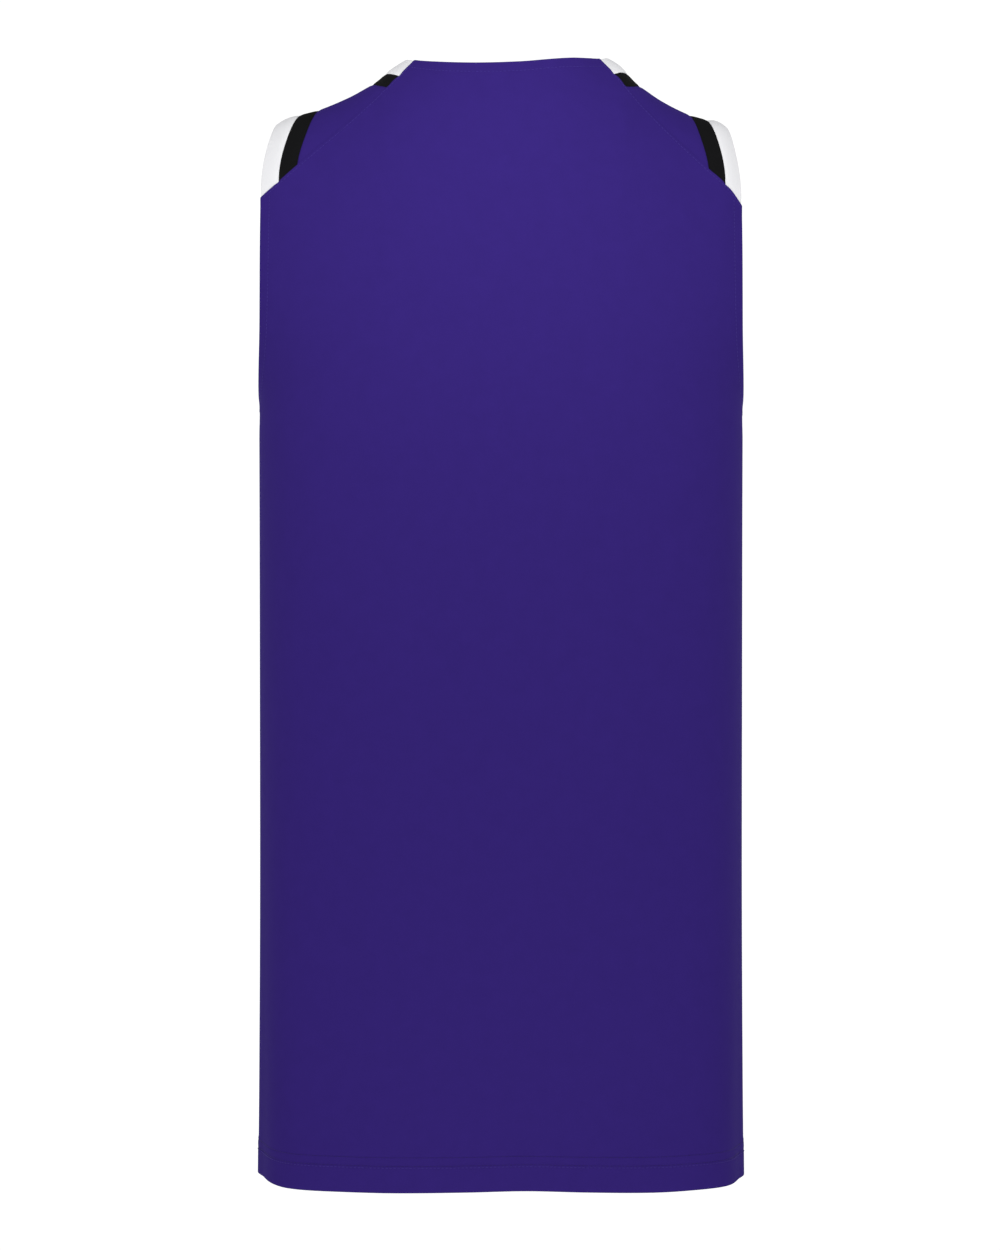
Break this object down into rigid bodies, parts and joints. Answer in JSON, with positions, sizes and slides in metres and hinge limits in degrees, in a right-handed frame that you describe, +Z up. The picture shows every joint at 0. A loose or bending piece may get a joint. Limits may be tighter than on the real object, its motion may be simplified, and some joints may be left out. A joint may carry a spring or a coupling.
{
  "type": "basketball jersey",
  "caption": "Sleeveless basketball jersey in purple knit, filled out as worn, with white and black bands at neck and armholes.",
  "frame": {"origin": "middle of the shoulder line at the neck, where the wearer's shoulders carry the jersey", "axes": "+Z up, the front faces -Y and the back +Y, and +X is the wearer's left"},
  "size_m": [0.35, 0.2286, 0.8022],
  "materials": {
    "purple_knit": "smooth matte knit",
    "white_knit": "smooth matte knit",
    "black_knit": "smooth matte knit"
  },
  "bodies": {
    "root": {"back_panel": "purple_knit", "front_panel": "purple_knit", "neck_band_white": "white_knit", "neck_band_black": "black_knit", "arm_band_white_left": "white_knit", "arm_band_white_right": "white_knit", "arm_band_black_left": "black_knit", "arm_band_black_right": "black_knit"}
  },
  "joints": []
}
